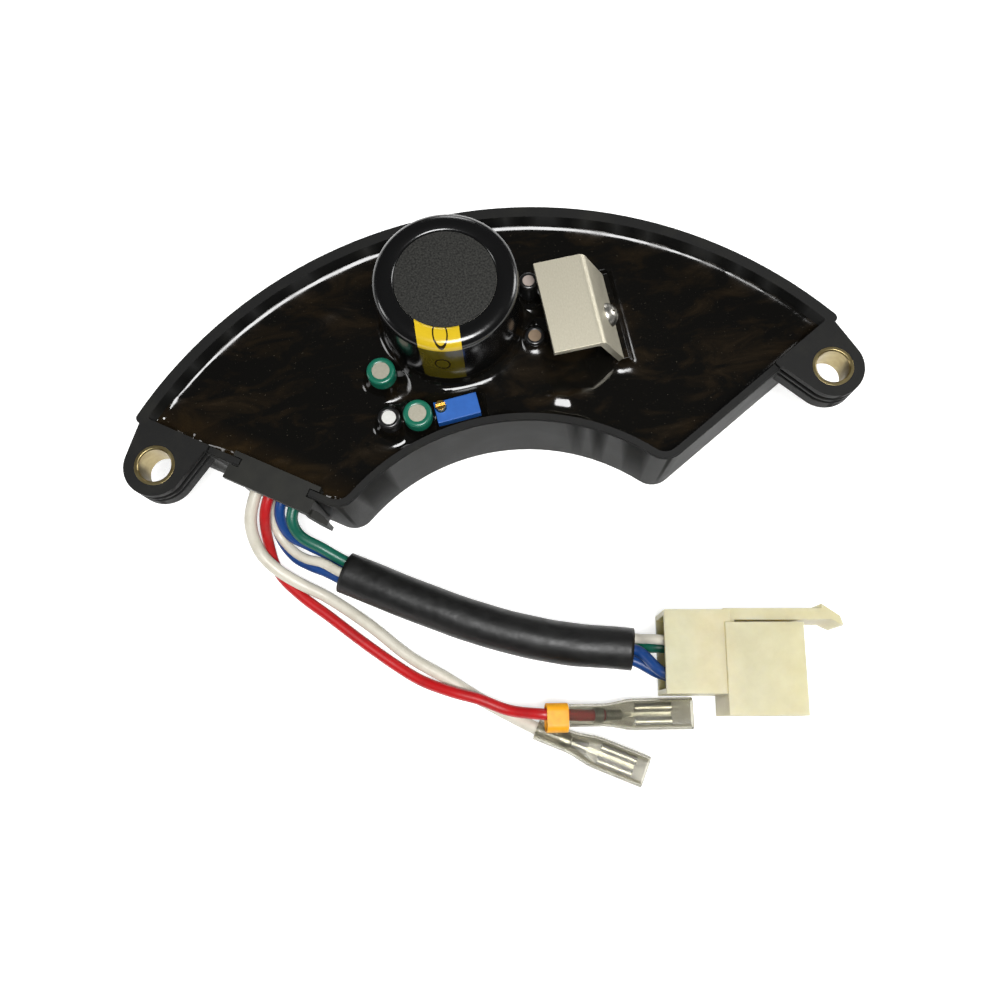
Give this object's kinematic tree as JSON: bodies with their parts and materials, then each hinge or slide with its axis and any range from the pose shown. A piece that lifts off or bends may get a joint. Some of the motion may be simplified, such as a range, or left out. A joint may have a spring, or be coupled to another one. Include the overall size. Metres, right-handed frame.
{
  "type": "automatic voltage regulator",
  "caption": "Half-moon potted voltage regulator for a portable generator, with capacitor, trimmer, heatsink bracket, sleeved harness and push-on terminals.",
  "frame": {"origin": "midway between the two fixing bushings, in the plane of the case's flat underside", "axes": "+X towards the right-hand bushing with the open side up, +Y towards the outer arc, +Z out of the open side, against the direction in which the underside faces"},
  "size_m": [0.1616, 0.1309, 0.0385],
  "materials": {
    "case_plastic": "matte, moulded glass-filled nylon",
    "clip_plastic": "matte, moulded",
    "resin": "glossy cast resin with a thin film of dust",
    "laminate": "solder mask over glass laminate",
    "zinc_steel": "yellow zinc plated",
    "can_aluminium": "satin",
    "sleeve_black": "shrunk film",
    "sleeve_green": "shrunk film",
    "disc_fibre": "grained",
    "trimmer_plastic": "moulded",
    "brass": "machined",
    "tinned_metal": "tin plated",
    "bracket_aluminium": "brushed sheet",
    "screw_steel": "zinc plated",
    "epoxy_black": "moulded",
    "resistor_coat": "lacquered",
    "wire_white": "semi-gloss cable insulation",
    "wire_red": "semi-gloss cable insulation",
    "wire_blue": "semi-gloss cable insulation",
    "wire_green": "semi-gloss cable insulation",
    "sleeve_tube": "glossy tubing",
    "nylon": "translucent natural nylon",
    "boot_vinyl": "smoky clear vinyl",
    "band_yellow": "shrunk tube"
  },
  "bodies": {
    "regulator": {"case": "case_plastic", "cable_clip_plate": "clip_plastic", "potting": "resin", "circuit_board": "laminate", "bushing_left": "zinc_steel", "bushing_right": "zinc_steel", "capacitor_can": "can_aluminium", "capacitor_sleeve": "sleeve_black", "capacitor_end_disc": "disc_fibre", "green_capacitor_rear_can": "can_aluminium", "green_capacitor_rear_sleeve": "sleeve_green", "green_capacitor_front_can": "can_aluminium", "green_capacitor_front_sleeve": "sleeve_green", "black_capacitor_can": "can_aluminium", "black_capacitor_sleeve": "sleeve_black", "slim_capacitor_can": "can_aluminium", "slim_capacitor_sleeve": "sleeve_black", "low_capacitor_can": "can_aluminium", "low_capacitor_sleeve": "sleeve_black", "trimmer_body": "trimmer_plastic", "trimmer_pins": "tinned_metal", "heatsink_bracket": "bracket_aluminium", "bracket_screw": "screw_steel", "bracket_nut": "screw_steel", "power_transistor": "epoxy_black", "rectifier_diodes": "epoxy_black", "resistors": "resistor_coat", "power_resistors": "resistor_coat", "control_chip": "epoxy_black", "wire_white_power": "wire_white", "wire_red_power": "wire_red", "wire_white_sense": "wire_white", "wire_blue_1": "wire_blue", "wire_blue_2": "wire_blue", "wire_green": "wire_green", "harness_sleeve": "sleeve_tube", "connector_housing": "nylon", "connector_contacts": "brass", "terminal_red": "tinned_metal", "terminal_white": "tinned_metal", "boot_red": "boot_vinyl", "boot_white": "boot_vinyl", "yellow_band": "band_yellow"},
    "adjuster": {"trimmer_screw": "brass"}
  },
  "joints": [
    {"name": "trimmer_adjuster", "type": "hinge", "parent": "regulator", "child": "adjuster", "pos_m": [-0.01124, 0.0035, 0], "axis": [0, 0, 1], "continuous": true}
  ]
}
